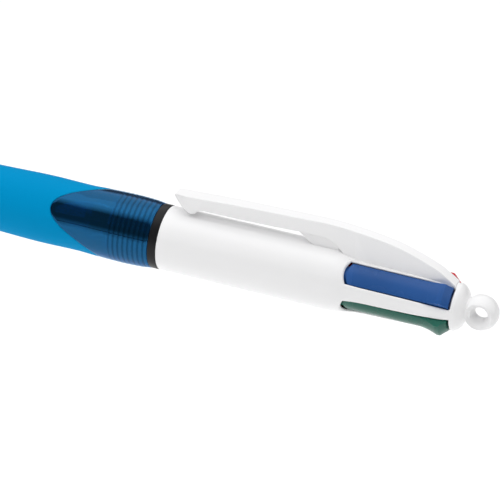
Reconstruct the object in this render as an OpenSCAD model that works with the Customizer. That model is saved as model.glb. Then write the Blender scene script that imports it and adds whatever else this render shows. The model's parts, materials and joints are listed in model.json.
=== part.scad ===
// Four-colour retractable ball pen, lying with its nose towards -X and its clip up.
// The origin is under the middle of the pen, on the plane it lies on. Lengths are in millimetres.

/* [Barrel] */
// Length of the lower barrel, from the nose to the ring
barrel_len = 76.1; // [75:0.1:77]
// Largest diameter of the barrel, behind the grip
belly_d = 13.38; // [13.2:0.02:13.6]
// Diameter of the hole in the nose
nose_hole_d = 3.2; // [3.2:0.05:3.3]

/* [Grip] */
// Where the rubber starts, from the nose
grip_front = 16; // [15:0.5:22]
// Thickness of the rubber
grip_t = 0.9; // [0.6:0.05:0.95]
// Where the deepest point of each petal is, from the nose
petal_tip = 55.3; // [50:0.1:57]
// How far the rubber tongues reach behind the petal tips
petal_depth = 10; // [6:0.5:10.5]
// Direction that one petal faces, about +X from +Y
petal_angle = 146; // [0:1:359]

/* [Upper shell] */
// Diameter of the upper shell
shell_d = 12.4; // [12.3:0.05:12.8]
// Width of the ring between barrel and shell
ring_w = 1.7; // [1.4:0.1:1.9]
// Length of the upper shell
shell_len = 58.5; // [58.5:0.1:59]
// Width of each slot
slot_w = 4.45; // [4.2:0.05:4.5]
// Length of each slot
slot_len = 21; // [20.7:0.1:21.1]

/* [Clip] */
// Width of the clip and of the fin behind it
clip_w = 2.8; // [2.6:0.1:3.2]
// Width of the web that joins the clip to the shell
web_w = 1.6; // [1:0.1:2]

/* [Sliders] */
// Travel of a slider
stroke = 7; // [5:0.5:7]
// Gap between a slider and the side of its slot
slider_gap = 0.18; // [0.12:0.02:0.3]
// Thickness of the keel on the inside of a slider
keel_t = 1.2; // [0.8:0.1:1.3]

/* [Refills] */
// Outer diameter of an ink tube
tube_d = 2.3; // [2.1:0.05:2.3]
// Inner diameter of an ink tube
tube_bore_d = 1.6; // [1.5:0.05:1.7]
// Diameter of the brass point
point_d = 2.1; // [1.9:0.05:2.1]
// Diameter of the writing ball
writing_ball_d = 1.0; // [0.7:0.1:1]

/* [Springs] */
// Outer diameter of a return spring
coil_d = 3.6; // [3.5:0.02:3.6]
// Diameter of the spring wire
wire_d = 0.3; // [0.2:0.02:0.3]
// Number of turns
coil_turns = 12; // [8:1:14]

/* [Lanyard ball] */
// Diameter of the ball at the end
end_ball_d = 6.8; // [6.4:0.1:7]
// Diameter of the hole through it
lanyard_hole_d = 2.8; // [2:0.1:3]

/* [Hidden] */
$fn = 64;

// Stations along the pen, from the nose.
rear_wall_t = 0.7;
ball_from_shell = 4.3;
shell_front = barrel_len + ring_w;
shell_rear = shell_front + shell_len;
slot_rear = shell_rear - rear_wall_t;
slot_front = slot_rear - slot_len;
end_ball_at = shell_rear + ball_from_shell;
pen_len = end_ball_at + end_ball_d / 2;
axis_h = belly_d / 2;

// Directions about +X, from +Y.
up = 90;
blue_at = 135;
red_at = 45;
green_at = 217;
black_at = 323;

fit = 0.03;
shell_bore_r = 5.25;
slider_r = 5.15;
slider_inner_r = 3.4;
refill_r = 3.1;
stem_r = 1.8;
rear_bore_r = 1.92;
spigot_from = slot_rear - 2.2;
slot_bow = 0.65;
cap_neck_r = 1.9;
// The straight part of the lanyard hole, and the radius of the flare at each end of it.
land = 0.8;
flare_r = 2;

// Radius of the barrel's bore between the grooves of its thread.
groove_r = 5.05;
// Outer radius of the barrel with its rubber on, at stations from the nose.
BODY = [
    [0, 2.2], [4.8, 3.65], [9.3, 4.45], [14, 5], [20, 5.45], [30, 5.9], [43, 6.25],
    [52.6, 6.52], [60.9, 6.42], [barrel_len - 12.1, 6.54], [barrel_len - 6.1, belly_d / 2],
    [barrel_len - 1.8, 6.54], [barrel_len, 6.29]
];
// Inner radius of the barrel in front of its thread.
BORE = [
    [0.4, nose_hole_d / 2], [5, 3.1], [9.3, 3.7], [22, 3.85], [30, 4.2], [66.4, 4.2], [67, groove_r]
];
// Outer radius of the upper shell, at stations from its front.
SHELL = [
    [0, 6], [0.2, shell_d / 2], [34.5, shell_d / 2], [36.2, 6], [37.7, 5.74], [39.2, 5.54],
    [41.2, 5.43], [44.2, 5.38], [50.2, 5.25], [54.2, 5.06], [56.9, 4.85], [shell_len, 4.5]
];
// Radius of the end cap's dome, at stations from the shell's rear.
DOME = [[0.03, 4.47], [0.5, 4.15], [1, 3.6], [1.4, 2.95], [1.7, 2.25], [1.85, cap_neck_r]];
// Height of the top of the clip and the fin above the pen's axis, at stations from the shell's front.
TOP = [
    [1.3, 10.26], [6.6, 10.5], [10.6, 10.75], [14.9, 10.93], [19.2, 11.07], [22.9, 11.2],
    [27.2, 11.32], [30, 11.42], [32.8, 11.44], [35.6, 11.3], [38.5, 11.03], [41, 10.75],
    [43.5, 10.38], [46.4, 9.82], [49.2, 8.98], [52.1, 7.97], [54.3, 7.02], [56, 6], [57.7, 4.85]
];
// Lower edge of the fin's full width, in front of where it meets the shell.
FIN_UNDER = [
    [26.85, 8.3], [28.8, 8.32], [31.7, 8.36], [32.6, 8.14], [33.6, 7.65], [34.4, 7], [35.2, 6.2],
    [36, 5.45]
];
fin_from = 26.85;
fin_to = 57.7;
clip_cut = 26.8;
clip_end = 1.3;
// The rounded foot under the clip's free end.
foot_h = 8.35;
foot_at = 4.9;
foot_r = 1.45;
thread_from = barrel_len - 8.1;
thread_pitch = 1;
thread_turns = 8;
neck_front = thread_from - 0.4;
neck_r = 4.7;
neck_bore_r = 4.3;
guide_front = shell_front + 6.2;
guide_t = 4;
spring_from = guide_front + guide_t;
spring_to = 108;
tip_at = 4.8;
tip_r = 2.2;
hinge_at = 106;
refill_len = hinge_at - tip_at;
refill_tilt = asin((refill_r - tip_r) / refill_len);
point_len = 9;

// A smooth curve through the rows of table t, each [station, value].
function last(t) = len(t) - 1;
function row_of(t, a, i = 0) = i >= last(t) - 1 || a < t[i + 1][0] ? i : row_of(t, a, i + 1);
function slope_at(t, i) =
    let (p = t[max(i - 1, 0)], q = t[min(i + 1, last(t))]) (q[1] - p[1]) / (q[0] - p[0]);
function smooth_at(t, a) =
    let (
        i = row_of(t, a),
        h = t[i + 1][0] - t[i][0],
        u = (a - t[i][0]) / h
    )
    t[i][1] * (1 + 2 * u) * pow(1 - u, 2) + t[i + 1][1] * u * u * (3 - 2 * u)
    + h * (slope_at(t, i) * u * pow(1 - u, 2) - slope_at(t, i + 1) * u * u * (1 - u));
function curve(t, from, to, steps, shift = 0) =
    [for (i = [0 : steps]) let (a = from + (to - from) * i / steps) [smooth_at(t, a) + shift, a]];
function raised(points, by) = [for (p = points) [p[0], p[1] + by]];
function flipped(points) = [for (i = [len(points) - 1 : -1 : 0]) points[i]];
function swapped(t) = [for (p = t) [p[1], p[0]]];

// The pen's own frame: +Z runs from the nose to the ball, and -X is up when it lies down.
module laid_down() translate([-pen_len / 2, 0, axis_h]) rotate([0, 90, 0]) children();
// Turns +X of the pen's own frame to a direction about the laid pen's +X.
module facing(direction) rotate([0, 0, direction + 90]) children();
// A side outline, [radius, station], given a width.
module plate(points, width) rotate([90, 0, 0]) linear_extrude(width, center = true) polygon(points);
// A round body from its outline, [radius, station].
module turned(points) rotate_extrude() polygon(points);

// Outline of a slot or of a slider, seen from outside, with a bowed front end.
function plan(half_w, from, to) = concat(
    [for (i = [-6 : 6]) [-(from + slot_bow * pow(i / 6, 2)), half_w * i / 6]],
    [[-to, half_w], [-to, -half_w]]
);
module slot_prism(half_w, from, to, reach = 8)
    rotate([0, 90, 0]) linear_extrude(reach) polygon(plan(half_w, from, to));

// The petals: parabolas that open towards the ring, on two opposite sides.
module petals(gap = 0) {
    half = 8;
    tip = petal_tip - gap;
    side = [for (i = [-12 : 12])
        let (y = half * i / 12) [-(tip + petal_depth * pow(y / 6.5, 2)), y]];
    facing(petal_angle) rotate([0, 90, 0]) linear_extrude(2 * half, center = true)
        polygon(concat(side, [[-barrel_len, half], [-barrel_len, -half]]));
}

// The room that the rubber takes in the barrel, or the rubber itself with a gap all round.
module grip_form(gap) {
    from = grip_front + gap;
    to = petal_tip + petal_depth + 0.8;
    outer = curve(BODY, from, to, 22, gap == 0 ? 0.5 : 0);
    inner = curve(BODY, from, to, 22, gap - grip_t);
    difference() {
        turned(concat(outer, flipped(inner)));
        petals(gap);
    }
}

module grip_sleeve() color("deepskyblue") laid_down() grip_form(fit);

// Profile of a run of thread turns, as ridges of a given depth.
function ridges(r, depth, shift = 0) = [
    for (i = [0 : thread_turns - 1], u = [0, 0.25, 0.5, 0.75])
        [r + (u == 0 || u == 0.75 ? 0 : depth), thread_from + (i + shift + u) * thread_pitch]
];

module barrel() color([0.05, 0.16, 0.38, 0.6]) laid_down() difference() {
    turned(concat(
        [[nose_hole_d / 2, 0.4], [nose_hole_d / 2, 0], [2, 0], [2.2, 0.15]],
        curve(BODY, 0.5, barrel_len, 44),
        [[groove_r, barrel_len]],
        flipped(ridges(groove_r, 0.25)),
        flipped(swapped(BORE))
    ));
    grip_form(0);
}

module threaded_neck() color([0.12, 0.12, 0.13]) laid_down() turned(concat(
    [[neck_bore_r, neck_front], [neck_r - 0.2, neck_front], [neck_r, neck_front + 0.2]],
    ridges(neck_r, 0.3),
    [
        [neck_r, barrel_len + fit],
        [6.2, barrel_len + fit],
        [6.27, barrel_len + fit + 0.07],
        [6.27, shell_front - fit - 0.07],
        [6.2, shell_front - fit],
        [shell_bore_r - fit, shell_front - fit],
        [shell_bore_r - fit, guide_front - 0.2],
        [neck_bore_r, guide_front - 0.2]
    ]
));

module spring_guide() color("whitesmoke") laid_down() difference() {
    translate([0, 0, guide_front]) cylinder(h = guide_t, r = shell_bore_r - fit);
    for (direction = [blue_at, red_at, green_at, black_at])
        facing(direction) translate([refill_r, 0, guide_front - 1]) cylinder(h = guide_t + 2, r = 1.6);
}

// The shell, its slots, and the fin and web that carry the clip.
module upper_shell() color("white") laid_down() difference() {
    union() {
        difference() {
            turned(concat(
                [[0, shell_front]],
                raised(curve(SHELL, 0, 34.5, 2), shell_front),
                raised(curve(SHELL, 35.2, shell_len, 24), shell_front),
                [[0, shell_rear]]
            ));
            translate([0, 0, shell_front - 1])
                cylinder(h = slot_front + slot_bow - shell_front + 1, r = shell_bore_r);
            translate([0, 0, slot_rear - 1]) cylinder(h = 3, r = rear_bore_r);
        }
        facing(up) plate(raised(concat(
            flipped(curve(TOP, fin_from, fin_to, 24)),
            curve(FIN_UNDER, fin_from, 36, 14),
            [[5.45, 37.8], [4.3, 38.5], [4.3, fin_to]]
        ), shell_front), clip_w);
        facing(up) plate(raised(
            [[8.8, fin_from], [7.75, fin_from], [5.8, 29.8], [5.8, 35], [8.2, 33]], shell_front
        ), web_w);
    }
    for (direction = [blue_at, red_at, green_at, black_at])
        facing(direction) slot_prism(slot_w / 2, slot_front, slot_rear);
}

// The arm of the clip, from its free end to the living hinge at its root.
module clip() color("white") laid_down() facing(up) difference() {
    plate(raised(concat(
        [[9.95, clip_end + 0.05], [8, 2.95]],
        [for (turn = [50 : -20 : -70]) [foot_h - foot_r * cos(turn), foot_at - foot_r * sin(turn)]],
        [[8.05, 7.6], [8.12, 17], [8.42, clip_cut]],
        flipped(curve(TOP, clip_end, clip_cut, 12))
    ), shell_front), clip_w);
    for (side = [-1, 1])
        translate([9, side * clip_w / 2, shell_front + 1.1]) rotate([45, 0, 0])
            cube([6, 0.7, 0.7], center = true);
}

// The domed cap and its lanyard ball, with a flared hole across it.
module end_cap() color("white") laid_down() difference() {
    union() {
        turned(concat(
            [[0, spigot_from], [rear_bore_r - 0.22, spigot_from], [rear_bore_r - fit, spigot_from + 0.3]],
            [[rear_bore_r - fit, shell_rear + fit]],
            raised(curve(DOME, fit, 1.85, 12), shell_rear),
            [[cap_neck_r, end_ball_at - 1.4], [0, end_ball_at - 1.4]]
        ));
        translate([0, 0, end_ball_at]) sphere(d = end_ball_d);
    }
    translate([0, 0, end_ball_at]) rotate([90, 0, 0]) {
        cylinder(h = 8, d = lanyard_hole_d, center = true);
        for (side = [0, 1]) mirror([0, 0, side]) turned(concat(
            [[0, land / 2]],
            [for (i = [0 : 10 : 70])
                [lanyard_hole_d / 2 + flare_r * (1 - cos(i)), land / 2 + flare_r * sin(i)]],
            [[3.3, 3.6], [0, 3.6]]
        ));
    }
}

// Outline of a slider along the pen: level, then a scooped ramp up to the thumb pad.
ramp_from = slot_rear - 5.8;
ramp_to = slot_rear - 2.3;
slider_front = slot_front + 0.4;
slider_rear = slot_rear - 0.35;
// The notch in the keel, in which another slider's keel rests once that one is pushed home.
catch_at = ramp_to - stroke;
catch_half = 0.5;
catch_r = 0.95;
keel_r = 1.2;
peg_from = hinge_at - 1.5;
peg_r = tube_bore_d / 2 - 0.08;
SLIDER = concat(
    [[slider_inner_r, slider_front], [slider_r - 0.15, slider_front], [slider_r, slider_front + 0.8]],
    [for (i = [0 : 6]) [slider_r + 0.75 * pow(i / 6, 2), ramp_from + (ramp_to - ramp_from) * i / 6]],
    [for (i = [1 : 5])
        [5.4 + 0.5 * cos(i * 18), ramp_to + 0.9 + (slider_rear - ramp_to - 0.9) * sin(i * 18)]],
    [[slider_inner_r, slider_rear]]
);

module slider(direction, paint) color(paint) laid_down() facing(direction) {
    intersection() {
        turned(SLIDER);
        slot_prism(slot_w / 2 - slider_gap, slider_front, slider_rear);
    }
    plate([
        [keel_r, slot_front + 3.5], [slider_inner_r + 0.6, slot_front + 1.5],
        [slider_inner_r + 0.6, slot_rear - 2.6], [keel_r, slot_rear - 4.4],
        [keel_r, catch_at + catch_half + 1.2], [catch_r, catch_at + catch_half],
        [catch_r, catch_at - catch_half], [keel_r, catch_at - catch_half - 1.2]
    ], keel_t);
    translate([refill_r, 0, spring_to]) cylinder(h = slot_front + 2.4 - spring_to, r = stem_r);
    translate([refill_r, 0, peg_from]) cylinder(h = spring_to + 0.5 - peg_from, r = peg_r);
}
module blue_slider() slider(blue_at, "royalblue");
module black_slider() slider(black_at, [0.1, 0.1, 0.11]);
module red_slider() slider(red_at, "crimson");
module green_slider() slider(green_at, "seagreen");

// A coil spring, swept as a ring of points at each step of its helix.
module coil(mean_r, wire_r, turns, from, to) {
    sides = 6;
    steps = turns * 10;
    pitch_z = (to - from - 2 * wire_r) / steps;
    ring = [for (k = [0 : steps], j = [0 : sides - 1])
        let (turn = 36 * k, spot = 360 * j / sides, r = mean_r + wire_r * cos(spot))
        [r * cos(turn), r * sin(turn), from + wire_r + k * pitch_z + wire_r * sin(spot)]];
    skin = [for (k = [0 : steps - 1], j = [0 : sides - 1])
        let (n = (j + 1) % sides, p = k * sides)
        [p + j, p + sides + j, p + sides + n, p + n]];
    ends = [[for (j = [0 : sides - 1]) j], [for (j = [sides - 1 : -1 : 0]) steps * sides + j]];
    polyhedron(ring, concat(skin, ends));
}
module spring(direction) color("silver") laid_down() facing(direction) translate([refill_r, 0, 0])
    coil((coil_d - wire_d) / 2, wire_d / 2, coil_turns, spring_from + fit, spring_to - fit);
module blue_spring() spring(blue_at);
module black_spring() spring(black_at);
module red_spring() spring(red_at);
module green_spring() spring(green_at);

// A refill's own frame: +Z runs from its writing ball to the slider's peg, leaning outwards.
module refill(direction) laid_down() facing(direction) translate([tip_r, 0, tip_at])
    rotate([0, refill_tilt, 0]) children();

module ink_tube(direction, paint) color(paint) refill(direction) difference() {
    translate([0, 0, point_len]) cylinder(h = refill_len + 1.8 - point_len, d = tube_d);
    translate([0, 0, point_len - 1]) cylinder(h = refill_len + 4 - point_len, d = tube_bore_d);
}
module blue_ink_tube() ink_tube(blue_at, "steelblue");
module black_ink_tube() ink_tube(black_at, "dimgray");
module red_ink_tube() ink_tube(red_at, "indianred");
module green_ink_tube() ink_tube(green_at, "mediumseagreen");

module brass_point(direction) color("goldenrod") refill(direction) {
    ball_r = writing_ball_d / 2;
    difference() {
        turned([
            [0, 0.35], [ball_r + 0.08, 0.35], [ball_r + 0.12, 0.6], [point_d / 2, 4.5],
            [point_d / 2, point_len - fit], [tube_bore_d / 2 - 0.02, point_len - fit],
            [tube_bore_d / 2 - 0.02, 12.6], [0.4, 13], [0, 13]
        ]);
        translate([0, 0, ball_r]) sphere(r = ball_r + 0.02);
        cylinder(h = 14, d = 0.3);
    }
}
module blue_brass_point() brass_point(blue_at);
module black_brass_point() brass_point(black_at);
module red_brass_point() brass_point(red_at);
module green_brass_point() brass_point(green_at);

module writing_ball(direction) color("gainsboro") refill(direction)
    translate([0, 0, writing_ball_d / 2]) sphere(d = writing_ball_d);
module blue_writing_ball() writing_ball(blue_at);
module black_writing_ball() writing_ball(black_at);
module red_writing_ball() writing_ball(red_at);
module green_writing_ball() writing_ball(green_at);

upper_shell();
clip();
end_cap();
threaded_neck();
spring_guide();
barrel();
grip_sleeve();
blue_slider();
black_slider();
red_slider();
green_slider();
blue_spring();
black_spring();
red_spring();
green_spring();
blue_ink_tube();
black_ink_tube();
red_ink_tube();
green_ink_tube();
blue_brass_point();
black_brass_point();
red_brass_point();
green_brass_point();
blue_writing_ball();
black_writing_ball();
red_writing_ball();
green_writing_ball();
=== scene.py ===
"""A four-colour click pen: rubber grip, tinted barrel, white shell with clip, sliders and refills."""
import json
import math

import bmesh
import bpy
from mathutils import Matrix, Vector


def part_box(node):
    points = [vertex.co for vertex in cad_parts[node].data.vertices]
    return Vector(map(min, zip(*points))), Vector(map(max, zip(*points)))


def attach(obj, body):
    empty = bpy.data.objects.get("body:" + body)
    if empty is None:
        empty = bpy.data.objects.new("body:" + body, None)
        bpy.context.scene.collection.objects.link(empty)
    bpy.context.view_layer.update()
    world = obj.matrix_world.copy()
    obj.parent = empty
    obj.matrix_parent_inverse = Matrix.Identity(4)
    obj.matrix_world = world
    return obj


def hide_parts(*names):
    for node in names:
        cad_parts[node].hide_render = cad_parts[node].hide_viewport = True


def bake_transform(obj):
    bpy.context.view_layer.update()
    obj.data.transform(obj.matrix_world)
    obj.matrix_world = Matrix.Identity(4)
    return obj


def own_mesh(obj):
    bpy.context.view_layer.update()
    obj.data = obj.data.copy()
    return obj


bl_info = {
    "name": "Four-colour pen",
    "version": (1, 0, 0),
    "blender": (4, 5, 0),
    "location": "View3D > Sidebar > Pen",
    "description": "Builds the visible pieces of a four-colour click pen around its packed model",
    "category": "Add Mesh",
}

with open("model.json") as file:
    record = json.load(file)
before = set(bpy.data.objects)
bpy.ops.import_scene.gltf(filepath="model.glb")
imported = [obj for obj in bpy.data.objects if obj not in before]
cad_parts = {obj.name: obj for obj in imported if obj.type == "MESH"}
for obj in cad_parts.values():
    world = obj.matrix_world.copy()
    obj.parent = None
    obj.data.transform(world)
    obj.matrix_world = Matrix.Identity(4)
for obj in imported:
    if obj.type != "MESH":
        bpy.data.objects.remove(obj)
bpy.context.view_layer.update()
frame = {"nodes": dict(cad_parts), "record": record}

MM = 0.001
COLOURS = ("blue", "black", "red", "green")
UP = 90.0


def span(node):
    """First and last station of a node along the pen, in millimetres from the nose."""
    low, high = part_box(node)
    return (low.x - NOSE) / MM, (high.x - NOSE) / MM


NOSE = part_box("barrel")[0].x
BELLY_R = (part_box("barrel")[1].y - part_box("barrel")[0].y) / 2 / MM
AXIS_Z = (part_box("barrel")[0].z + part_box("barrel")[1].z) / 2
BARREL_END = span("barrel")[1]
NECK_FRONT, NECK_END = span("threaded_neck")
SHELL_FRONT, SHELL_REAR = span("upper_shell")
GRIP_FRONT, GRIP_REAR = span("grip_sleeve")
SLIDER_REAR = span("blue_slider")[1]
SPRING_FROM, SPRING_TO = span("blue_spring")
PEN_END = span("end_cap")[1]
SHELL_R = (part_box("upper_shell")[1].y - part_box("upper_shell")[0].y) / 2 / MM
LANYARD_HOLE = next(m for m in frame["record"]["mounts"] if m["name"] == "lanyard_hole")
END_BALL_AT = (LANYARD_HOLE["pos_m"][0] - NOSE) / MM
HOLE_R = LANYARD_HOLE["dims"]["r_mm"]


def direction_of(node):
    """Angle about +X, from +Y, at which a node's middle lies."""
    middle = sum(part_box(node), Vector()) / 2
    return math.degrees(math.atan2(middle.z - AXIS_Z, middle.y))


# Outer radius of the barrel with its rubber on, at stations from the nose.
BODY = (
    (0, 2.2), (4.8, 3.65), (9.3, 4.45), (14, 5), (20, 5.45), (30, 5.9), (43, 6.25),
    (52.6, 6.52), (60.9, 6.42), (BARREL_END - 12.1, 6.54), (BARREL_END - 6.1, BELLY_R),
    (BARREL_END - 1.8, 6.54), (BARREL_END, 6.29),
)
# Radius of the barrel's bore, at stations from the nose; it is straight between two of them.
BORE = ((0.4, 1.6), (5, 3.1), (9.3, 3.7), (22, 3.85), (30, 4.2), (66.4, 4.2), (67, 5.05))
BORE_R = 4.2
BORE_STRAIGHT = (29, 66.5)
BORE_STATIONS = (67, 66.4, 60, 50, 40, 30, 26, 22, 18, 14, 9.3, 7, 5, 3, 1.5)
# Outer radius of the upper shell, at stations from its front.
SHELL = (
    (0, SHELL_R), (34.5, SHELL_R), (36.2, 6), (37.7, 5.74), (39.2, 5.54), (41.2, 5.43),
    (44.2, 5.38), (50.2, 5.25), (54.2, 5.06), (56.9, 4.85), (SHELL_REAR - SHELL_FRONT, 4.5),
)
# Radius of the end cap's dome, at stations from the shell's rear.
DOME = ((-0.35, 4.55), (0, 4.48), (0.5, 4.15), (1, 3.6), (1.4, 2.95), (1.7, 2.25), (1.85, 1.9))
# Height of the clip's and fin's top above the pen's axis, at stations from the shell's front.
CLIP_TOP = (
    (1.3, 10.26), (6.6, 10.5), (10.6, 10.75), (14.9, 10.93), (19.2, 11.07), (22.9, 11.2),
    (27.2, 11.32), (30, 11.42), (32.8, 11.44), (35.6, 11.3), (38.5, 11.03), (41, 10.75),
    (43.5, 10.38), (46.4, 9.82), (49.2, 8.98), (52.1, 7.97), (54.3, 7.02), (56, 6), (57.7, 4.85),
)
# Height of the fin's underside, and of the clip's, at stations from the shell's front.
FIN_UNDER = (
    (26.85, 8.4), (28.8, 8.38), (31.7, 8.38), (32.6, 8.14), (33.6, 7.65), (34.4, 7), (35.2, 6.2),
    (36, 5.45),
)
CLIP_UNDER = ((7.6, 8.05), (17, 8.12), (26.85, 8.42))
# Slanted front end of the clip, and the outline of the web that it stands on.
CLIP_SLANT = ((2.95, 8.0), (2.2, 8.92), (1.4, 9.9))
WEB = ((26.9, 9.2), (26.4, 8.1), (28.5, 6.6), (29.8, 5.8), (35, 5.6), (33, 9.2))
WEB_HALF = 0.8
CLIP_START, FIN_END = 1.3, 57.7
# Half of the clip's width at its free end, what it loses on the way back, and over which stretch.
CLIP_HALF, CLIP_LOSS = 1.6, 0.3
TAPER_FROM, TAPER_LENGTH = 8, 26
# The round foot under the clip's free end: height and station of its middle, and radius.
FOOT_H, FOOT_AT, FOOT_R = 8.35, 4.9, 1.45
SLOT_REAR = SHELL_REAR - 0.7
SLOT_FRONT = SLOT_REAR - 21
SLOT_BOW = 0.65
SHELL_BORE_R = 5.25
CAP_BORE_R = 1.92
SLIDER_R = 5.15
SLIDER_INNER_R = 3.4
SLIDER_GAP = 0.17
REFILL_R = 3.1
# How far the grip's petals reach back, and what the pen's roundness leaves of it.
PETAL_DEPTH = 10.0
PETAL_SHARE = 6.44 / 6.5
GRIP_THICKNESS = 0.88
SEAT_DEPTH = 0.9
SEAT_GAP = 0.03
NECK_R = 4.7
RING_R = 6.27
THREAD_FROM = BARREL_END - 8.1
THREAD_PITCH = 1.0
THREAD_TURNS = 8
THREAD_FLANK = 0.14
# Width of the view at the pen, and how far the view's middle lies beyond the shell's front.
VIEW_WIDTH = 500 / 5.26
VIEW_RIGHT, VIEW_DOWN = 15.72, 2.39
SENSOR = 36
FLOOR_REACH, FLOOR_DROP = 4, -0.16
# Brightness of the tent round the pen's axis, from the back, over the top and down the front.
TENT = ((0.0, 0.15), (0.1, 0.15), (0.17, 1.0), (0.58, 1.0), (0.68, 0.12), (0.93, 0.12), (1.0, 0.4))
TENT_STRENGTH, TENT_GLOSS = 0.8, 0.5
BACKDROP = (1.3, 1.3, 1.3, 1)


def smooth_at(table, station):
    """A smooth curve through the rows of a table of (station, value)."""
    last = len(table) - 1
    i = next((k for k in range(last) if station < table[k + 1][0]), last - 1)

    def slope(k):
        before, after = table[max(k - 1, 0)], table[min(k + 1, last)]
        return (after[1] - before[1]) / (after[0] - before[0])

    gap = table[i + 1][0] - table[i][0]
    u = (station - table[i][0]) / gap
    value = table[i][1] * (1 + 2 * u) * (1 - u) ** 2 + table[i + 1][1] * u * u * (3 - 2 * u)
    return value + gap * (slope(i) * u * (1 - u) ** 2 - slope(i + 1) * u * u * (1 - u))


def limited(value):
    """A value kept between 0 and 1."""
    return max(0.0, min(1.0, value))


def steps(start, end, count):
    """count + 1 evenly spaced values from start to end."""
    return [start + (end - start) * i / count for i in range(count + 1)]


def polar(station, radius, angle):
    """A point in metres from its station, its distance from the pen's axis and its angle."""
    turn = math.radians(angle)
    return Vector((
        NOSE + station * MM,
        radius * math.cos(turn) * MM,
        AXIS_Z + radius * math.sin(turn) * MM,
    ))


def beside(station, height, across, angle):
    """A point in metres, height out along a direction and across to its side."""
    turn = math.radians(angle)
    return Vector((
        NOSE + station * MM,
        (height * math.cos(turn) - across * math.sin(turn)) * MM,
        AXIS_Z + (height * math.sin(turn) + across * math.cos(turn)) * MM,
    ))


def filleted(corners):
    """Outline points of (station, radius, fillet) corners, each fillet drawn as a curve."""
    out = []
    for i, (station, radius, fillet) in enumerate(corners):
        here = Vector((station, radius))
        if fillet <= 0:
            out.append((station, radius))
            continue
        before = Vector(corners[i - 1][:2])
        after = Vector(corners[(i + 1) % len(corners)][:2])
        start = here + (before - here).normalized() * fillet
        end = here + (after - here).normalized() * fillet
        for t in steps(0, 1, 4):
            point = start * (1 - t) ** 2 + here * 2 * t * (1 - t) + end * t * t
            out.append((point.x, point.y))
    return out


class Shape:
    """Points and faces of a mesh while it is put together."""

    def __init__(self):
        self.points = []
        self.faces = []

    def add(self, points):
        first = len(self.points)
        self.points.extend(points)
        return list(range(first, len(self.points)))

    def bridge(self, ring, other, wrap=True):
        count = len(ring)
        for i in range(count if wrap else count - 1):
            k = (i + 1) % count
            self.faces.append((ring[i], ring[k], other[k], other[i]))

    def loft(self, rings, closed=False, wrap=True):
        """Joins rings of points, in order; a closed loft also joins the last to the first."""
        rows = [self.add(ring) for ring in rings]
        for ring, other in zip(rows, rows[1:]):
            self.bridge(ring, other, wrap)
        if closed:
            self.bridge(rows[-1], rows[0], wrap)
        return rows

    def cap(self, ring):
        self.faces.append(tuple(ring))

    def object(self, name):
        mesh = bpy.data.meshes.new(name)
        mesh.from_pydata([tuple(p) for p in self.points], [], self.faces)
        made = bpy.data.objects.new(name, mesh)
        bpy.context.scene.collection.objects.link(made)
        edit = bmesh.new()
        edit.from_mesh(mesh)
        bmesh.ops.remove_doubles(edit, verts=edit.verts, dist=1e-7)
        bmesh.ops.recalc_face_normals(edit, faces=edit.faces)
        edit.to_mesh(mesh)
        edit.free()
        for face in mesh.polygons:
            face.use_smooth = True
        return made


def softened(piece, width, limit=32, segments=3):
    """Rounds the piece's sharp edges by width millimetres and keeps the result as its mesh."""
    bevel = piece.modifiers.new("edges", "BEVEL")
    bevel.width = width * MM
    bevel.segments = segments
    bevel.limit_method = "ANGLE"
    bevel.angle_limit = math.radians(limit)
    bevel.harden_normals = True
    bevel.miter_outer = "MITER_ARC"
    return settled(piece)


def settled(piece):
    """Applies a piece's modifiers."""
    shown = piece.evaluated_get(bpy.context.evaluated_depsgraph_get())
    mesh = bpy.data.meshes.new_from_object(shown, depsgraph=bpy.context.evaluated_depsgraph_get())
    piece.modifiers.clear()
    piece.data = mesh
    return piece


def dressed(piece, material, slot, body, *replaced):
    """Gives a piece its material and the body it rides on, and hides the nodes it replaces; its
    record slot is not used.
    """
    piece.data.materials.clear()
    piece.data.materials.append(material)
    if body:
        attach(piece, body)
    if replaced:
        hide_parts(*replaced)
    return piece


def joined(name, *pieces):
    """One object that holds the meshes of several."""
    for other in bpy.context.selected_objects:
        other.select_set(False)
    for piece in pieces:
        piece.select_set(True)
    bpy.context.view_layer.objects.active = pieces[0]
    bpy.ops.object.join()
    pieces[0].name = name
    return pieces[0]


# ---------------------------------------------------------------- materials


def math_node(tree, operation, *values):
    """A maths node fed by numbers and by other nodes' outputs."""
    node = tree.nodes.new("ShaderNodeMath")
    node.operation = operation
    for socket, value in zip(node.inputs, values):
        if isinstance(value, bpy.types.NodeSocket):
            tree.links.new(value, socket)
        else:
            socket.default_value = value
    return node.outputs["Value"]


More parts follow.
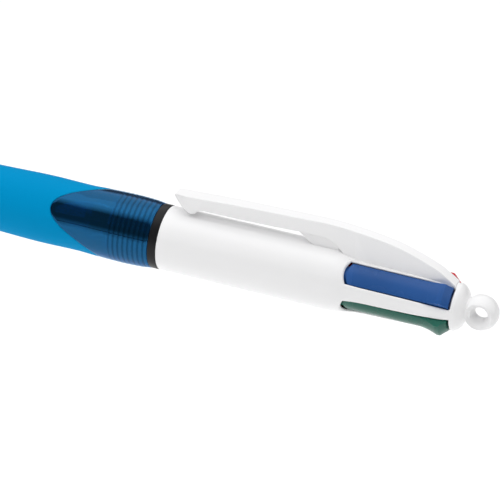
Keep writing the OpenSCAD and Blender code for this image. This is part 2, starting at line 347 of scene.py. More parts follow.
class Finish:
    """A node material around one Principled shader."""

    def __init__(self, name):
        self.material = bpy.data.materials.new(name)
        self.material.use_nodes = True
        self.nodes = self.material.node_tree.nodes
        self.links = self.material.node_tree.links
        self.shader = self.nodes["Principled BSDF"]
        self.where = self.nodes.new("ShaderNodeTexCoord").outputs["Object"]

    def set(self, **values):
        for name, value in values.items():
            self.shader.inputs[name.replace("_", " ")].default_value = value

    def noise(self, size_mm, detail=3.0, stretch=(1, 1, 1)):
        """Noise whose features are about size_mm across."""
        mapping = self.nodes.new("ShaderNodeMapping")
        mapping.inputs["Scale"].default_value = stretch
        self.links.new(self.where, mapping.inputs["Vector"])
        noise = self.nodes.new("ShaderNodeTexNoise")
        noise.inputs["Scale"].default_value = 1 / (size_mm * MM)
        noise.inputs["Detail"].default_value = detail
        self.links.new(mapping.outputs["Vector"], noise.inputs["Vector"])
        return noise.outputs["Fac"]

    def ranged(self, value, low, high, from_low=0.25, from_high=0.75):
        node = self.nodes.new("ShaderNodeMapRange")
        for name, number in (("From Min", from_low), ("From Max", from_high),
                             ("To Min", low), ("To Max", high)):
            node.inputs[name].default_value = number
        self.links.new(value, node.inputs["Value"])
        return node.outputs["Result"]

    def mixed(self, factor, first, second):
        node = self.nodes.new("ShaderNodeMix")
        node.data_type = "RGBA"
        self.links.new(factor, node.inputs["Factor"])
        for socket, colour in ((node.inputs[6], first), (node.inputs[7], second)):
            if isinstance(colour, bpy.types.NodeSocket):
                self.links.new(colour, socket)
            else:
                socket.default_value = (*colour[:3], 1)
        return node.outputs[2]

    def math(self, operation, *values):
        return math_node(self.material.node_tree, operation, *values)

    def ridges(self, start, end, pitch):
        """Rings around the pen from one station to another, 1 on each crest and 0 between."""
        parts = self.nodes.new("ShaderNodeSeparateXYZ")
        self.links.new(self.where, parts.inputs["Vector"])
        along = self.math("DIVIDE", self.math("SUBTRACT", parts.outputs["X"], NOSE), MM)
        wave = self.math("SINE", self.math("MULTIPLY", along, 2 * math.pi / pitch))
        crest = self.ranged(wave, 0, 1, -0.4, 1)
        rise = self.ranged(along, 0, 1, start - 0.4, start + 0.4)
        fall = self.ranged(along, 1, 0, end - 0.3, end)
        return self.math("MULTIPLY", crest, self.math("MULTIPLY", rise, fall))

    def bumped(self, *layers):
        """Bump from (height, depth in millimetres) layers, finest last."""
        normal = None
        for height, depth in layers:
            bump = self.nodes.new("ShaderNodeBump")
            bump.inputs["Distance"].default_value = depth * MM
            bump.inputs["Strength"].default_value = 1
            self.links.new(height, bump.inputs["Height"])
            if normal:
                self.links.new(normal, bump.inputs["Normal"])
            normal = bump.outputs["Normal"]
        self.links.new(normal, self.shader.inputs["Normal"])

    def drive(self, socket, value):
        self.links.new(value, self.shader.inputs[socket])

    def edges(self):
        """1 along outer edges, 0 on flat ground."""
        pointy = self.nodes.new("ShaderNodeNewGeometry").outputs["Pointiness"]
        return self.ranged(pointy, 0, 1, 0.5, 0.56)


def shade(colour, factor):
    return tuple(min(1, c * factor) for c in colour[:3])


def moulded(name, colour, roughness, grain=0.0012, spread=0.05, wear=1.06):
    """Injection-moulded plastic: faint flow marks, fine grain, and edges polished by handling."""
    made = Finish(name)
    body = made.mixed(made.ranged(made.noise(9, 2), 0, 1), shade(colour, 1 - spread), colour)
    made.drive("Base Color", made.mixed(made.edges(), body, shade(colour, wear)))
    made.drive("Roughness", made.ranged(made.noise(5, 2), roughness - 0.03, roughness + 0.04))
    made.bumped((made.noise(6, 1), grain))
    made.set(IOR=1.5)
    return made.material


def rubber(name, colour):
    """Matt grip rubber with a fine stone-like texture and a little bloom."""
    made = Finish(name)
    body = made.mixed(made.ranged(made.noise(14, 3), 0, 1), shade(colour, 0.93), colour)
    fine = made.noise(0.12, 4)
    made.drive("Base Color", made.mixed(made.ranged(fine, 0, 0.5), body, shade(colour, 1.12)))
    made.drive("Roughness", made.ranged(made.noise(0.7, 3), 0.5, 0.66))
    made.bumped((made.noise(0.5, 2), 0.004), (fine, 0.006))
    made.set(IOR=1.46, Specular_IOR_Level=0.03)
    return made.material


def tinted_clear(name, colour, roughness):
    """See-through tinted plastic: faint flow lines, thread lines, and light caught in its walls."""
    made = Finish(name)
    flow = made.noise(5, 2, (0.25, 1, 1))
    body = made.mixed(made.ranged(flow, 0, 1), shade(colour, 0.9), colour)
    turns = made.ridges(THREAD_FROM, BARREL_END - 0.4, THREAD_PITCH)
    made.drive("Base Color", made.mixed(turns, body, shade(colour, 0.5)))
    made.drive("Roughness", made.ranged(made.noise(1.2, 3), roughness * 0.5, roughness * 1.5))
    made.bumped((made.noise(3, 2, (0.4, 1, 1)), 0.004), (turns, 0.02))
    made.set(IOR=1.5, Transmission_Weight=1.0, Metallic=0.5,
             Specular_Tint=(0.12, 0.62, 1.0, 1.0))
    return made.material


def metal(name, colour, roughness, stretch):
    """Drawn or turned metal with fine marks along one way."""
    made = Finish(name)
    marks = made.noise(0.5, 3, stretch)
    made.drive("Base Color", made.mixed(made.ranged(marks, 0, 1), shade(colour, 0.85), colour))
    made.drive("Roughness", made.ranged(marks, roughness * 0.7, roughness * 1.4))
    made.bumped((marks, 0.001))
    made.set(Metallic=1.0)
    return made.material


def ink_filled(name, colour):
    """Tube plastic over ink: dark where the ink stands, with a soft gloss."""
    made = Finish(name)
    marks = made.noise(6, 3, (0.2, 1, 1))
    made.drive("Base Color", made.mixed(made.ranged(marks, 0, 1), shade(colour, 0.7), colour))
    made.drive("Roughness", made.ranged(made.noise(1, 3), 0.18, 0.3))
    made.bumped((made.noise(1.5, 2), 0.002))
    made.set(IOR=1.5, Coat_Weight=0.3, Coat_Roughness=0.1)
    return made.material


# ---------------------------------------------------------------- settings


def tint(name, description, default):
    return bpy.props.FloatVectorProperty(
        name=name, description=description, subtype="COLOR", size=3, min=0, max=1,
        default=default)


class PenColours(bpy.types.PropertyGroup):
    """Colours of the pen's pieces."""

    white: tint("Shell", "Shell, clip and end cap", (0.875, 0.873, 0.878))
    grip: tint("Grip", "Rubber grip", (0.0, 0.265, 0.55))
    barrel: tint("Barrel", "Tint of the see-through barrel", (0.016, 0.145, 0.36))
    neck: tint("Ring and neck", "Ring and threaded neck", (0.008, 0.008, 0.0088))
    blue: tint("Blue", "Blue slider", (0.02, 0.088, 0.29))
    black: tint("Black", "Black slider", (0.012, 0.012, 0.014))
    red: tint("Red", "Red slider", (0.5, 0.02, 0.035))
    green: tint("Green", "Green slider", (0.008, 0.105, 0.072))


class PenSizes(bpy.types.PropertyGroup):
    """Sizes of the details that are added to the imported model."""

    columns: bpy.props.IntProperty(
        name="Columns", description="Columns of faces round the barrel and grip",
        default=192, min=48, max=384)
    edge: bpy.props.FloatProperty(
        name="Edge rounding", description="Rounding of the shell's slot edges",
        default=0.4 * MM, min=0, max=0.45 * MM, unit="LENGTH", precision=5)
    slot_width: bpy.props.FloatProperty(
        name="Slot width", description="Width of each slot in the shell",
        default=4.45 * MM, min=4 * MM, max=4.6 * MM, unit="LENGTH", precision=5)
    petal_angle: bpy.props.FloatProperty(
        name="Petal direction", description="Way that one petal of the grip faces",
        default=math.radians(146), unit="ROTATION")


class PenStudio(bpy.types.PropertyGroup):
    """Camera and lights."""

    distance: bpy.props.FloatProperty(
        name="Camera distance", description="From the camera to the pen",
        default=0.7, min=0.3, max=2, unit="LENGTH")
    azimuth: bpy.props.FloatProperty(
        name="Camera azimuth", description="Round the pen, from its clip side to its ball end",
        default=math.radians(18.6), unit="ROTATION")
    elevation: bpy.props.FloatProperty(
        name="Camera elevation", description="Above the floor",
        default=math.radians(27.4), unit="ROTATION")
    roll: bpy.props.FloatProperty(
        name="Camera roll", description="Turn about the line of sight",
        default=math.radians(4.6), unit="ROTATION")


def colours():
    return bpy.context.scene.pen_colours


def sizes():
    return bpy.context.scene.pen_sizes


MATERIALS = {}


def material(name, maker, *values):
    """Makes a material once and hands it out again."""
    if name not in MATERIALS:
        MATERIALS[name] = maker(name, *values)
    return MATERIALS[name]


def white_plastic():
    return material("white_plastic", moulded, tuple(colours().white), 0.3, 0.0008, 0.015, 1.02)


# ---------------------------------------------------------------- barrel and grip


def petal_edge(angle, gap=0.0):
    """Station at which the rubber ends, at an angle round the pen."""
    off = math.radians(angle) - sizes().petal_angle
    tip = GRIP_REAR - PETAL_DEPTH * PETAL_SHARE ** 2
    return tip + gap + PETAL_DEPTH * (PETAL_SHARE * math.sin(off)) ** 2


def body_r(station):
    return smooth_at(BODY, max(0.0, min(station, BARREL_END)))


def around():
    return [360 * i / sizes().columns for i in range(sizes().columns)]


def round_ring(station, radius):
    return [polar(station, radius, a) for a in around()]


def body_ring(station_at, dip=0.0):
    """Ring on the pen's outline, sunk by dip, at a station that depends on the angle."""
    stations = [(station_at(a), a) for a in around()]
    return [polar(s, body_r(s) - dip, a) for s, a in stations]


def thread(station, angle, depth, width):
    """Height of a right-handed thread at a place, rounded at its crest and run out at its ends."""
    turns = (station - THREAD_FROM) / THREAD_PITCH
    phase = (turns - angle / 360) % 1
    shape = limited((width / 2 + THREAD_FLANK - abs(phase - 0.5)) / THREAD_FLANK)
    fade = limited(min(turns + 0.1, THREAD_TURNS - turns + 0.1) / 0.4)
    return depth * shape * fade


class PEN_OT_grip(bpy.types.Operator):
    """Make the rubber grip, with its two tongues"""

    bl_idname = "pen.grip"
    bl_label = "Rubber grip"

    def execute(self, context):
        shape = Shape()
        lip = 0.22
        rings = []
        for t in steps(0, 1, 64):
            rings.append(body_ring(
                lambda a: GRIP_FRONT + lip + (petal_edge(a) - 2 * lip - GRIP_FRONT) * t))
        for turn in steps(0, 90, 4)[1:]:
            dip = lip * (1 - math.cos(math.radians(turn)))
            reach = lip * math.sin(math.radians(turn))
            rings.append(body_ring(lambda a: petal_edge(a) - lip + reach, dip))
        for t in steps(1, 0, 24):
            rings.append(body_ring(
                lambda a: GRIP_FRONT + (petal_edge(a) - GRIP_FRONT) * t, GRIP_THICKNESS))
        for turn in steps(90, 0, 4)[:-1]:
            dip = lip * (1 - math.cos(math.radians(turn)))
            station = GRIP_FRONT + lip * (1 - math.sin(math.radians(turn)))
            rings.append(round_ring(station, body_r(station) - dip))
        shape.loft(rings, closed=True)
        finish = material("grip_rubber", rubber, tuple(colours().grip))
        dressed(shape.object("rubber_grip"), finish, "grip_rubber", "barrel", "grip_sleeve")
        return {"FINISHED"}


class PEN_OT_barrel(bpy.types.Operator):
    """Make the see-through barrel, with the seat of its grip and the thread inside"""

    bl_idname = "pen.barrel"
    bl_label = "Tinted barrel"

    def execute(self, context):
        shape = Shape()
        chamfer = 0.12
        seat_from = GRIP_FRONT - 0.02
        nose = ((0.5, 1.6), (0.15, 1.64), (0, 1.8), (0.0, 2.0), (0.2, 2.28))
        rings = [round_ring(s, r) for s, r in nose]
        for s in steps(0.6, GRIP_FRONT - 0.1, 24):
            rings.append(round_ring(s, body_r(s)))
        rings.append(round_ring(seat_from, body_r(GRIP_FRONT) - 0.08))
        for t in steps(0, 1, 24):
            rings.append(body_ring(
                lambda a: seat_from + (petal_edge(a, SEAT_GAP) - GRIP_FRONT) * t, SEAT_DEPTH))
        for reach, dip in ((0.02, 0.12), (0.05, 0.03), (0.12, 0)):
            rings.append(body_ring(lambda a: petal_edge(a, SEAT_GAP) + reach, dip))
        rear_from = SEAT_GAP + 0.12
        for t in steps(0, 1, 40)[1:]:
            rings.append(body_ring(lambda a: petal_edge(a, rear_from) + (
                BARREL_END - chamfer - petal_edge(a, rear_from)) * t))
        rings.append(round_ring(BARREL_END, body_r(BARREL_END) - chamfer))
        rings.append(round_ring(BARREL_END, 5.1))
        for s in steps(BARREL_END - 0.08, THREAD_FROM - 0.3, THREAD_TURNS * 8):
            rings.append([polar(s, 5.06 + thread(s, a, 0.24, 0.35), a) for a in around()])
        for s in BORE_STATIONS:
            straight = BORE_STRAIGHT[0] <= s <= BORE_STRAIGHT[1]
            rings.append(round_ring(s, BORE_R if straight else smooth_at(BORE, s)))
        shape.loft(rings, closed=True)
        finish = material("tinted_plastic", tinted_clear, tuple(colours().barrel), 0.02)
        dressed(shape.object("clear_barrel"), finish, "tinted_plastic", "barrel", "barrel")
        return {"FINISHED"}


class PEN_OT_neck(bpy.types.Operator):
    """Make the ring and the neck with its thread"""

    bl_idname = "pen.neck"
    bl_label = "Ring and threaded neck"

    def execute(self, context):
        shape = Shape()
        bore_r, spigot_r = 4.3, 5.22
        ring_from, ring_to = BARREL_END + 0.03, SHELL_FRONT - 0.03
        rings = [round_ring(s, r) for s, r in
                 ((NECK_FRONT, bore_r), (NECK_FRONT, 4.5), (NECK_FRONT + 0.06, 4.63))]
        for s in steps(NECK_FRONT + 0.2, BARREL_END - 0.1, 76):
            rings.append([polar(s, NECK_R + thread(s, a, 0.29, 0.3), a) for a in around()])
        for s, r in filleted((
            (ring_from, NECK_R, 0), (ring_from, RING_R, 0.12), (ring_to, RING_R, 0.12),
            (ring_to, spigot_r, 0), (NECK_END, spigot_r, 0.1), (NECK_END, bore_r, 0),
        )):
            rings.append(round_ring(s, r))
        shape.loft(rings, closed=True)
        finish = material("black_plastic", moulded, tuple(colours().neck), 0.34, 0.0015, 0.1, 1.5)
        finish.node_tree.nodes["Principled BSDF"].inputs["Specular IOR Level"].default_value = 0.2
        dressed(shape.object("ring_and_neck"), finish, "black_plastic", "shell", "threaded_neck")
        return {"FINISHED"}


# ---------------------------------------------------------------- shell and clip

SLOT_COLUMNS = 14
RIB_COLUMNS = 10
RIB_EDGE = 0.19
SLOT_ANGLES = sorted(direction_of(colour + "_slider") % 360 for colour in COLOURS)


def gap_after(index):
    """Angle from one slot's middle to the next one's."""
    return (SLOT_ANGLES[(index + 1) % 4] - SLOT_ANGLES[index]) % 360


def slot_half():
    return sizes().slot_width / 2 / MM


def shell_columns(radius, half):
    """Angles of the shell's columns at a radius: across each slot, then across the rib after it."""
    edge = math.degrees(math.asin(half / radius))
    out = []
    for quarter in range(4):
        middle = SLOT_ANGLES[quarter]
        for u in steps(-1, 1, SLOT_COLUMNS):
            out.append((middle + math.degrees(math.asin(half * u / radius)), u))
        for v in steps(RIB_EDGE, 1 - RIB_EDGE, RIB_COLUMNS - 2):
            out.append((middle + edge + (gap_after(quarter) - 2 * edge) * v, None))
    return out


def rib_walls(half, station, outer_r, quarter):
    """Points on the two inner walls of a rib, from one slot edge to the next."""
    middle, gap = SLOT_ANGLES[quarter], gap_after(quarter)
    depth = math.sqrt(outer_r ** 2 - half ** 2)
    root = half / math.tan(math.radians(gap / 2))
    first = [beside(station, d, half, middle) for d in steps(depth, root, RIB_COLUMNS // 2)]
    second = [beside(station, d, -half, middle + gap) for d in steps(root, depth, RIB_COLUMNS // 2)]
    return first[1:] + second[1:-1]


def rounded_slots(shell):
    """Rounds the outer edges of the four slots, and keeps the other edges crisp."""
    edit = bmesh.new()
    edit.from_mesh(shell.data)
    chosen = []
    for edge in edit.edges:
        middle = (edge.verts[0].co + edge.verts[1].co) / 2
        station = (middle.x - NOSE) / MM
        out = math.hypot(middle.y, middle.z - AXIS_Z) / MM
        outer_r = smooth_at(SHELL, min(station, SHELL_REAR) - SHELL_FRONT)
        inside = SLOT_FRONT - 0.2 < station < SLOT_REAR + 0.2
        if inside and out > outer_r - 0.2 and edge.calc_face_angle(0) > math.radians(40):
            chosen.append(edge)
    for edge in edit.edges:
        edge.smooth = edge.calc_face_angle(0) < math.radians(35)
    bmesh.ops.bevel(edit, geom=chosen, offset=sizes().edge, segments=5, profile=0.5,
                    affect="EDGES", clamp_overlap=False)
    for edge in edit.edges:
        edge.smooth = edge.calc_face_angle(0) < math.radians(35)
    edit.to_mesh(shell.data)
    edit.free()
    return shell


class PEN_OT_shell(bpy.types.Operator):
    """Make the white shell, with its four slots"""

    bl_idname = "pen.shell"
    bl_label = "Upper shell"

    def execute(self, context):
        half = slot_half()
        shape = Shape()
        per = SLOT_COLUMNS + RIB_COLUMNS

        def outer(station_of):
            ring = []
            for index in range(4 * per):
                guess = station_of(None)
                angle, u = shell_columns(smooth_at(SHELL, guess - SHELL_FRONT), half)[index]
                station = station_of(u)
                radius = smooth_at(SHELL, station - SHELL_FRONT)
                angle = shell_columns(radius, half)[index][0]
                ring.append(polar(station, radius, angle))
            return ring

        def inner(station_of, radius, angles_at):
            return [polar(station_of(u), radius, angle)
                    for angle, u in shell_columns(angles_at, half)]

        def bowed(u):
            return SLOT_FRONT + SLOT_BOW * (1 if u is None else u * u)

        front = steps(SHELL_FRONT + 0.12, SHELL_FRONT + 34, 16)
        front += steps(SHELL_FRONT + 34.5, SLOT_FRONT - 0.6, 6)
        lip = [polar(SHELL_FRONT, SHELL_R - 0.1, a) for a, u in shell_columns(SHELL_R, half)]
        hub_r = 4.7
        rows = [shape.add(lip)]
        for s in front:
            rows.append(shape.add(outer(lambda u, s=s: s)))
        at_front = len(rows)
        rows.append(shape.add(outer(bowed)))
        slotted = steps(SLOT_FRONT + SLOT_BOW, SLOT_REAR, 24)
        for s in slotted[1:]:
            rows.append(shape.add(outer(lambda u, s=s: s)))
        at_rear = len(rows) - 1
        for s in (SLOT_REAR + 0.5, SHELL_REAR):
            rows.append(shape.add(outer(lambda u, s=s: s)))

        count = 4 * per
        for r in range(len(rows) - 1):
            for i in range(count):
                in_slot = (i % per) < SLOT_COLUMNS
                if in_slot and at_front <= r < at_rear:
                    continue
                k = (i + 1) % count
                shape.faces.append((rows[r][i], rows[r][k], rows[r + 1][k], rows[r + 1][i]))

        # rear wall, with the hole for the cap's spigot
        hole_out = shape.add(inner(lambda u: SHELL_REAR, CAP_BORE_R, hub_r))
        hole_in = shape.add(inner(lambda u: SLOT_REAR, CAP_BORE_R, hub_r))
        shape.bridge(rows[-1], hole_out)
        shape.bridge(hole_out, hole_in)

        # ribs: two walls each, which share their first and last points with the outside
        walls = []
        for r in range(at_front, at_rear + 1):
            station = (SLOT_FRONT + SLOT_BOW) if r == at_front else slotted[r - at_front]
            radius = smooth_at(SHELL, station - SHELL_FRONT)
            ring = list(rows[r])
            for quarter in range(4):
                made = shape.add(rib_walls(half, station, radius, quarter))
                for j, point in enumerate(made):
                    ring[quarter * per + SLOT_COLUMNS + 1 + j] = point
            walls.append(ring)
        for ring, other in zip(walls, walls[1:]):
            for i in range(count):
                if (i % per) >= SLOT_COLUMNS:
                    k = (i + 1) % count
                    shape.faces.append((ring[i], ring[k], other[k], other[i]))
        shape.bridge(hole_in, walls[-1])

        # front bore
        bore = shape.add(inner(bowed, SHELL_BORE_R, SHELL_BORE_R))
        shape.bridge(walls[0], bore)
        last = bore
        for s in steps(SLOT_FRONT - 1, SHELL_FRONT, 6):
            ring = shape.add(inner(lambda u, s=s: s, SHELL_BORE_R, SHELL_BORE_R))
            shape.bridge(last, ring)
            last = ring
        shape.bridge(last, rows[0])

        shell = rounded_slots(shape.object("white_shell"))
        dressed(shell, white_plastic(), "white_plastic", "shell", "upper_shell")
        return {"FINISHED"}


def plate(name, outline, half_at):
    """A flat piece from its (station, height) outline, standing on the pen's top line."""
    shape = Shape()
    sides = [shape.add([beside(s, h, side * half_at(s, h), UP) for s, h in outline])
             for side in (-1, 1)]
    shape.bridge(*sides)
    shape.cap(sides[0])
    shape.cap(sides[1][::-1])
    return shape.object(name)


class PEN_OT_clip(bpy.types.Operator):
    """Make the clip with the fin behind it, and the web that they stand on"""

    bl_idname = "pen.clip"
    bl_label = "Clip, fin and web"

    def execute(self, context):
        def half_of(station):
            corner = limited((station - CLIP_START) / 0.55)
            width = CLIP_HALF - CLIP_LOSS * limited((station - TAPER_FROM) / TAPER_LENGTH)
            return width * (0.82 + 0.18 * corner ** 0.5)

        top = [(s, smooth_at(CLIP_TOP, s)) for s in steps(CLIP_START, FIN_END, 56)]
        under = [(s, half_of(s) + 3.18) for s in steps(FIN_END, 38.5, 12)] + [(37.8, 5.4)]
        under += [(s, smooth_at(FIN_UNDER, s)) for s in steps(36, 26.85, 18)]
        under += [(s, smooth_at(CLIP_UNDER, s)) for s in steps(26, 7.6, 16)]
        foot = [(FOOT_AT + FOOT_R * math.cos(math.radians(turn)),
                 FOOT_H - FOOT_R * math.sin(math.radians(turn))) for turn in steps(20, 140, 12)]
        outline = [(s + SHELL_FRONT, h) for s, h in top + under + foot + list(CLIP_SLANT)]
        clip = plate("clip_and_fin", outline, lambda s, h: half_of(s - SHELL_FRONT))
        clip = softened(clip, 0.3, 24, 4)
        dressed(clip, white_plastic(), "white_plastic", None, "clip")
        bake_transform(clip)

        web = softened(plate("clip_web", [(s + SHELL_FRONT, h) for s, h in WEB],
                             lambda s, h: WEB_HALF), 0.12, 24)
        dressed(web, white_plastic(), "white_plastic", "shell")
        return {"FINISHED"}


class PEN_OT_cap(bpy.types.Operator):
    """Make the domed end cap with its lanyard ball"""

    bl_idname = "pen.cap"
    bl_label = "End cap and lanyard ball"

    def execute(self, context):
        turns = [360 * i / 96 for i in range(96)]
        dome = Shape()
        spigot_from, spigot_r, stalk_to, centre = SLOT_REAR - 2.2, 1.89, END_BALL_AT - 1.6, 0.02
        profile = [(spigot_from, centre), (spigot_from, 1.7), (SLOT_REAR - 1.9, spigot_r),
                   (SHELL_REAR + DOME[0][0], spigot_r)]
        profile += [(SHELL_REAR + s, smooth_at(DOME, s))
                    for s in steps(DOME[0][0], DOME[-1][0], 22)]
        profile += [(stalk_to, DOME[-1][1]), (stalk_to, centre)]
        dome.loft([[polar(s, r, a) for a in turns] for s, r in profile], closed=True)

        ball = Shape()
        radius = PEN_END - END_BALL_AT
        flare, land = 2.0, 0.4
        side = []
        for turn in steps(0, 75, 10):
            t = math.radians(turn)
            side.append((land + flare * math.sin(t), HOLE_R + flare * (1 - math.cos(t))))
        mouth = next(i for i, (y, r) in enumerate(side) if y * y + r * r > radius ** 2)
        side = side[:mouth]
        start = math.atan2(side[-1][0], side[-1][1])
        globe = [(radius * math.sin(t), radius * math.cos(t)) for t in steps(start, -start, 28)]
        loop = side + globe + [(-y, r) for y, r in reversed(side)]
        rings = []
        for y, r in loop:
            rings.append([Vector((NOSE + (END_BALL_AT + r * math.cos(math.radians(a))) * MM,
                                  y * MM, AXIS_Z + r * math.sin(math.radians(a)) * MM))
                          for a in turns])
        ball.loft(rings, closed=True)
        cap = joined("end_cap_and_ball", dome.object("dome"), ball.object("ball"))
        fuse = cap.modifiers.new("fuse", "REMESH")
        fuse.mode = "VOXEL"
        fuse.voxel_size = 0.085 * MM
        relax = cap.modifiers.new("relax", "SMOOTH")
        relax.factor = 0.5
        relax.iterations = 6
        settled(cap)
        for face in cap.data.polygons:
            face.use_smooth = True
        dressed(cap, white_plastic(), "white_plastic", "shell", "end_cap")
        return {"FINISHED"}


# ---------------------------------------------------------------- sliders, springs, refills

PAD_RISE = 0.72
SLIDER_FRONT = SLOT_FRONT + 0.4


def pad_rise(station):
    """How far the thumb pad stands above the level part of a slider."""
    ramp_from, ramp_to = SLOT_REAR - 5.8, SLOT_REAR - 2.3
    if station <= ramp_from:
        return 0.0
    if station < ramp_to:
        return PAD_RISE * ((station - ramp_from) / (ramp_to - ramp_from)) ** 1.6
    tail = SLOT_REAR - 1.6
    if station < tail:
        return PAD_RISE
    return PAD_RISE - (PAD_RISE + 0.4) * (station - tail) / (SLIDER_REAR - tail)


def slider_top(station, across):
    """Height of a slider's outside: a crown that flattens where the thumb pad rises."""
    crown = math.sqrt(SLIDER_R ** 2 - across ** 2)
    nose = 0.12 * max(0.0, 1 - (station - SLIDER_FRONT) / 0.8) ** 2
    rise = pad_rise(station)
    flatness = 0.45 * max(0.0, rise / PAD_RISE)
    return (crown - nose) * (1 - flatness) + (SLIDER_R - 0.05) * flatness + rise


class PEN_OT_sliders(bpy.types.Operator):
    """Make the four coloured sliders, with their keels, stems and pegs"""

    bl_idname = "pen.sliders"
    bl_label = "Colour sliders"

    def execute(self, context):
        for colour in COLOURS:
            self.make(colour)
        return {"FINISHED"}

    def make(self, colour):
        node = colour + "_slider"
        angle = direction_of(node)
        half = slot_half() - SLIDER_GAP
        acrosses = [half * math.sin(math.radians(t)) for t in steps(-90, 90, 20)]
        along = steps(0, 0.7, 14)[:-1] + steps(0.7, 1, 24)

        def station_at(t, across):
            start = SLIDER_FRONT + SLOT_BOW * (across / half) ** 2
            return start + (SLIDER_REAR - start) * t

        pad = Shape()
        tops, bottoms = [], []
        for t in along:
            places = [(station_at(t, y), y) for y in acrosses]
            tops.append(pad.add([beside(s, slider_top(s, y), y, angle) for s, y in places]))
            bottoms.append(pad.add([beside(s, SLIDER_INNER_R, y, angle) for s, y in places]))
        for layer in (tops, bottoms):
            for row, other in zip(layer, layer[1:]):
                pad.bridge(row, other, wrap=False)
        for i in range(len(along) - 1):
            for edge in (0, -1):
                pad.faces.append((tops[i][edge], tops[i + 1][edge],
                                  bottoms[i + 1][edge], bottoms[i][edge]))
        for end in (0, -1):
            pad.bridge(tops[end], bottoms[end], wrap=False)
        pad = softened(pad.object(node + "_pad"), 0.13, 36)

        keel = Shape()
        outline = (
            (SLOT_FRONT + 3.5, 1.2), (SLOT_FRONT + 1.5, 3.9), (SLOT_REAR - 2.6, 3.9),
            (SLOT_REAR - 4.4, 1.2), (SLOT_REAR - 7.6, 1.2), (SLOT_REAR - 8.8, 0.95),
            (SLOT_REAR - 9.8, 0.95), (SLOT_REAR - 11, 1.2),
        )
        sides = [keel.add([beside(s, h, side, angle) for s, h in outline]) for side in (-0.6, 0.6)]
        keel.bridge(*sides)
        keel.cap(sides[0])
        keel.cap(sides[1][::-1])
        keel = softened(keel.object(node + "_keel"), 0.08, 30, 2)

        stem = Shape()
        peg_from, peg_r = span(node)[0], 0.72
        stem_from, stem_to, stem_r, centre = SPRING_TO + 0.03, SLOT_FRONT + 2.3, 1.8, 0.02
        profile = filleted((
            (peg_from, centre, 0), (peg_from, peg_r, 0.2), (stem_from, peg_r, 0),
            (stem_from, stem_r, 0.1), (stem_to, stem_r, 0.1), (stem_to, centre, 0),
        ))
        turns = [15 * i for i in range(24)]
        stem.loft([[beside(s, REFILL_R + r * math.cos(math.radians(a)),
                           r * math.sin(math.radians(a)), angle) for a in turns]
                   for s, r in profile], closed=True)
        stem = stem.object(node + "_stem")

        slider = joined(node + "_shape", pad, keel, stem)
        shown = tuple(getattr(colours(), colour))
        finish = material(colour + "_button", moulded, shown, 0.27, 0.001, 0.12, 1.35)
        finish.node_tree.nodes["Principled BSDF"].inputs["Specular IOR Level"].default_value = 0.25
        dressed(slider, finish, colour + "_button", node, node)


class PEN_OT_springs(bpy.types.Operator):
    """Make the four return springs, wound from round wire"""

    bl_idname = "pen.springs"
    bl_label = "Return springs"

    def execute(self, context):
        turns, mean_r, wire_r, facets, per_turn = 12, 1.65, 0.15, 10, 28
        finish = material("spring_steel", metal, (0.55, 0.56, 0.58), 0.25, (0.3, 1, 1))
        for colour in COLOURS:
            node = colour + "_spring"
            angle = direction_of(node)
            shape = Shape()
            rings = []
            count = turns * per_turn
            pitch = (SPRING_TO - SPRING_FROM - 2 * wire_r) / count
            for k in range(count + 1):
                turn = 2 * math.pi * k / per_turn
                ring = []
                for j in range(facets):
                    spot = 2 * math.pi * j / facets
                    r = mean_r + wire_r * math.cos(spot)
                    station = SPRING_FROM + wire_r + k * pitch + wire_r * math.sin(spot)
                    ring.append(beside(station, REFILL_R + r * math.cos(turn),
                                       r * math.sin(turn), angle))
                rings.append(ring)
            rows = shape.loft(rings)
            shape.cap(rows[0])
            shape.cap(rows[-1][::-1])
            spring = shape.object(node + "_coil")
            dressed(spring, finish, "spring_steel", "shell", node)
            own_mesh(spring)
        return {"FINISHED"}


class PEN_OT_refills(bpy.types.Operator):
    """Give the refills and the spring guide their finishes"""

    bl_idname = "pen.refills"
    bl_label = "Refills and spring guide"

    def execute(self, context):
        inks = {"blue": (0.012, 0.02, 0.13), "black": (0.008, 0.008, 0.01),
                "red": (0.16, 0.008, 0.012), "green": (0.008, 0.07, 0.03)}
        brass = material("brass", metal, (0.62, 0.44, 0.17), 0.24, (6, 1, 1))
        steel = material("ball_steel", metal, (0.6, 0.6, 0.62), 0.12, (1, 1, 1))
        guide = material("natural_plastic", moulded, (0.75, 0.75, 0.72), 0.4)
        for colour in COLOURS:
            for node, finish in (("ink_tube", material(colour + "_tube", ink_filled, inks[colour])),
                                 ("brass_point", brass), ("writing_ball", steel)):
                self.paint(f"{colour}_{node}", finish)
        self.paint("spring_guide", guide)
        return {"FINISHED"}

    def paint(self, node, finish):
        shown = frame["nodes"][node]
        shown.data.materials.clear()
        shown.data.materials.append(finish)
        for face in shown.data.polygons:
            face.use_smooth = True
        shown.data.set_sharp_from_angle(angle=math.radians(30))


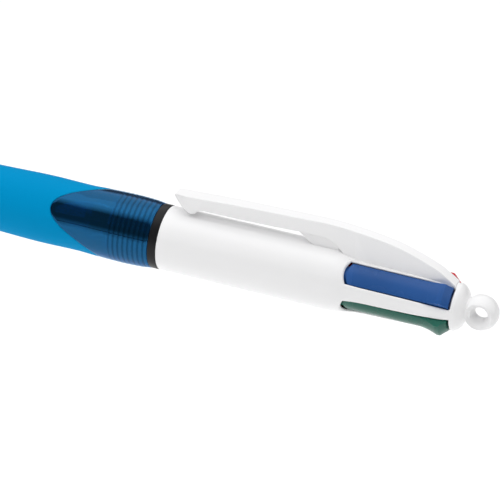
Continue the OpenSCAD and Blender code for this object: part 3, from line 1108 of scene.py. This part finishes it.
class PEN_OT_stage(bpy.types.Operator):
    """Make the floor, the lights and the camera"""

    bl_idname = "pen.stage"
    bl_label = "Stage, lights and camera"

    def execute(self, context):
        scene = context.scene
        scene.view_settings.view_transform = "Standard"
        scene.world = self.tent()

        floor = Shape()
        corners = ((-1, -1), (1, -1), (1, 1), (-1, 1))
        floor.cap(floor.add([Vector((x * FLOOR_REACH, y * FLOOR_REACH, FLOOR_DROP))
                             for x, y in corners]))
        floor = floor.object("floor")
        pale = Finish("pale_floor")
        pale.drive("Base Color", pale.mixed(pale.ranged(pale.noise(60, 2), 0, 1),
                                            (0.88, 0.88, 0.88), (0.9, 0.9, 0.9)))
        pale.set(Roughness=0.9, Emission_Color=(1, 1, 1, 1), Emission_Strength=0.28)
        floor.data.materials.append(pale.material)

        self.lamp("key", (-0.1, 0.1, 0.6), (0.5, 0.3), 0.15)
        fill = self.lamp("fill", (-0.1, -0.35, 0.75), (1.6, 1.4), 8.2)
        fill.visible_glossy = False

        studio = scene.pen_studio
        lens = bpy.data.cameras.new("camera")
        lens.sensor_width = SENSOR
        lens.lens = SENSOR * studio.distance / (VIEW_WIDTH * MM)
        lens.clip_start, lens.clip_end = 0.01, 20
        camera = bpy.data.objects.new("camera", lens)
        scene.collection.objects.link(camera)
        az, el = studio.azimuth, studio.elevation
        back = Vector((math.sin(az) * math.cos(el), -math.cos(az) * math.cos(el), math.sin(el)))
        level = Vector((0, 0, 1)).cross(back).normalized()
        rise = back.cross(level)
        right = level * math.cos(studio.roll) + rise * math.sin(studio.roll)
        above = rise * math.cos(studio.roll) - level * math.sin(studio.roll)
        aim = polar(SHELL_FRONT, 0, 0)
        aim += right * VIEW_RIGHT * MM - above * VIEW_DOWN * MM
        camera.location = aim + back * studio.distance
        camera.rotation_mode = "QUATERNION"
        camera.rotation_quaternion = Matrix((right, above, back)).transposed().to_quaternion()
        scene.camera = camera
        return {"FINISHED"}

    def tent(self):
        """White light tent: bright overhead and behind, dim towards the open front."""
        world = bpy.data.worlds.new("tent")
        world.use_nodes = True
        tree = world.node_tree
        nodes, links = tree.nodes, tree.links
        direction = nodes.new("ShaderNodeTexCoord").outputs["Generated"]
        parts = nodes.new("ShaderNodeSeparateXYZ")
        links.new(direction, parts.inputs["Vector"])
        turn = math_node(tree, "ARCTAN2", parts.outputs["Z"], parts.outputs["Y"])
        ramp = nodes.new("ShaderNodeValToRGB")
        links.new(math_node(tree, "DIVIDE", turn, math.pi), ramp.inputs["Fac"])
        while len(ramp.color_ramp.elements) < len(TENT):
            ramp.color_ramp.elements.new(0.5)
        for element, (place, level) in zip(ramp.color_ramp.elements, TENT):
            element.position = place
            element.color = (level, level, level, 1)
        shown = nodes.new("ShaderNodeMix")
        shown.data_type = "RGBA"
        path = nodes.new("ShaderNodeLightPath")
        links.new(path.outputs["Is Camera Ray"], shown.inputs["Factor"])
        links.new(ramp.outputs["Color"], shown.inputs[6])
        shown.inputs[7].default_value = BACKDROP
        back = nodes["Background"]
        links.new(shown.outputs[2], back.inputs["Color"])
        strength = math_node(tree, "MULTIPLY_ADD", path.outputs["Is Glossy Ray"], TENT_GLOSS,
                             TENT_STRENGTH)
        links.new(strength, back.inputs["Strength"])
        return world

    def lamp(self, name, where, size, power):
        data = bpy.data.lights.new(name, "AREA")
        data.shape = "RECTANGLE"
        data.size, data.size_y = size
        data.energy = power
        lamp = bpy.data.objects.new(name, data)
        lamp.location = where
        lamp.rotation_mode = "QUATERNION"
        lamp.rotation_quaternion = (-Vector(where)).to_track_quat("-Z", "Y")
        bpy.context.scene.collection.objects.link(lamp)
        return lamp


class PEN_PT_pieces(bpy.types.Panel):
    """Lists the pen's settings and the operators that make its pieces"""

    bl_label = "Four-colour pen"
    bl_idname = "PEN_PT_pieces"
    bl_space_type = "VIEW_3D"
    bl_region_type = "UI"
    bl_category = "Pen"

    def draw(self, context):
        for group in (context.scene.pen_colours, context.scene.pen_sizes, context.scene.pen_studio):
            box = self.layout.box()
            for name in group.__annotations__:
                box.prop(group, name)
        for operator in OPERATORS:
            self.layout.operator(operator.bl_idname)


GROUPS = {"pen_colours": PenColours, "pen_sizes": PenSizes, "pen_studio": PenStudio}
OPERATORS = (
    PEN_OT_stage, PEN_OT_barrel, PEN_OT_grip, PEN_OT_neck, PEN_OT_shell, PEN_OT_clip,
    PEN_OT_cap, PEN_OT_sliders, PEN_OT_springs, PEN_OT_refills,
)


def register():
    for name, group in GROUPS.items():
        bpy.utils.register_class(group)
        setattr(bpy.types.Scene, name, bpy.props.PointerProperty(type=group))
    for operator in OPERATORS:
        bpy.utils.register_class(operator)
    bpy.utils.register_class(PEN_PT_pieces)


def unregister():
    bpy.utils.unregister_class(PEN_PT_pieces)
    for operator in reversed(OPERATORS):
        bpy.utils.unregister_class(operator)
    for name, group in GROUPS.items():
        delattr(bpy.types.Scene, name)
        bpy.utils.unregister_class(group)


def main():
    register()
    bpy.ops.pen.stage()
    bpy.ops.pen.barrel()
    bpy.ops.pen.grip()
    bpy.ops.pen.neck()
    bpy.ops.pen.shell()
    bpy.ops.pen.clip()
    bpy.ops.pen.cap()
    bpy.ops.pen.sliders()
    bpy.ops.pen.springs()
    bpy.ops.pen.refills()


if __name__ == "__main__":
    main()
